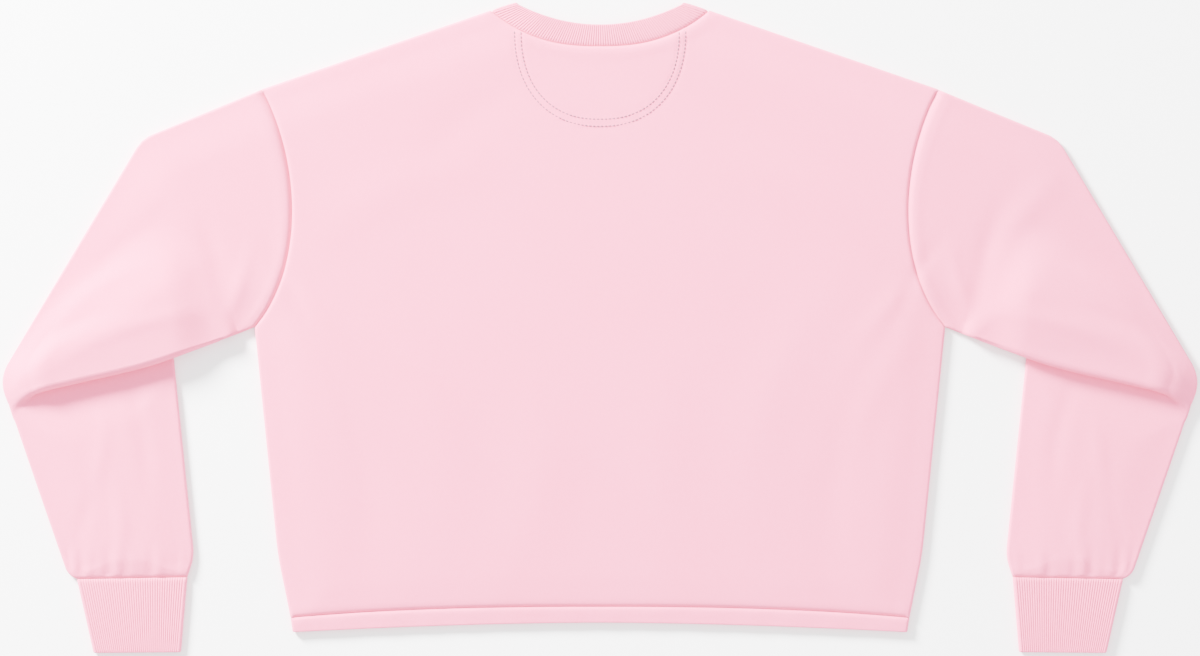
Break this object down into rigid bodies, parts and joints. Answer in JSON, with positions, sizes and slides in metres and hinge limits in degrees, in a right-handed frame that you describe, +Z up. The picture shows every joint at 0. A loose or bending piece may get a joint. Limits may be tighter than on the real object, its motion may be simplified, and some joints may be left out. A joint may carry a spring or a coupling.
{
  "type": "crewneck sweatshirt",
  "caption": "Cropped boxy crewneck sweatshirt in fleece, lying flat back side up, with ribbed neck and cuffs, a half-moon neck patch and each sleeve folded at the elbow.",
  "frame": {"origin": "on the surface that the garment lies on, under the middle of its outline", "axes": "+X across the garment towards the sleeve on the right as it is seen, +Y from the hem to the neck, +Z up out of the surface"},
  "size_m": [1.0044, 0.5464, 0.019],
  "materials": {
    "fleece": "soft matte brushed-back fleece",
    "rib": "soft matte rib knit"
  },
  "bodies": {
    "root": {"back_panel": "fleece", "front_panel": "fleece", "half_moon_patch": "fleece", "hem_band": "fleece", "right_sleeve": "fleece", "left_sleeve": "fleece", "neckband": "rib", "right_cuff": "rib", "left_cuff": "rib"}
  },
  "joints": []
}
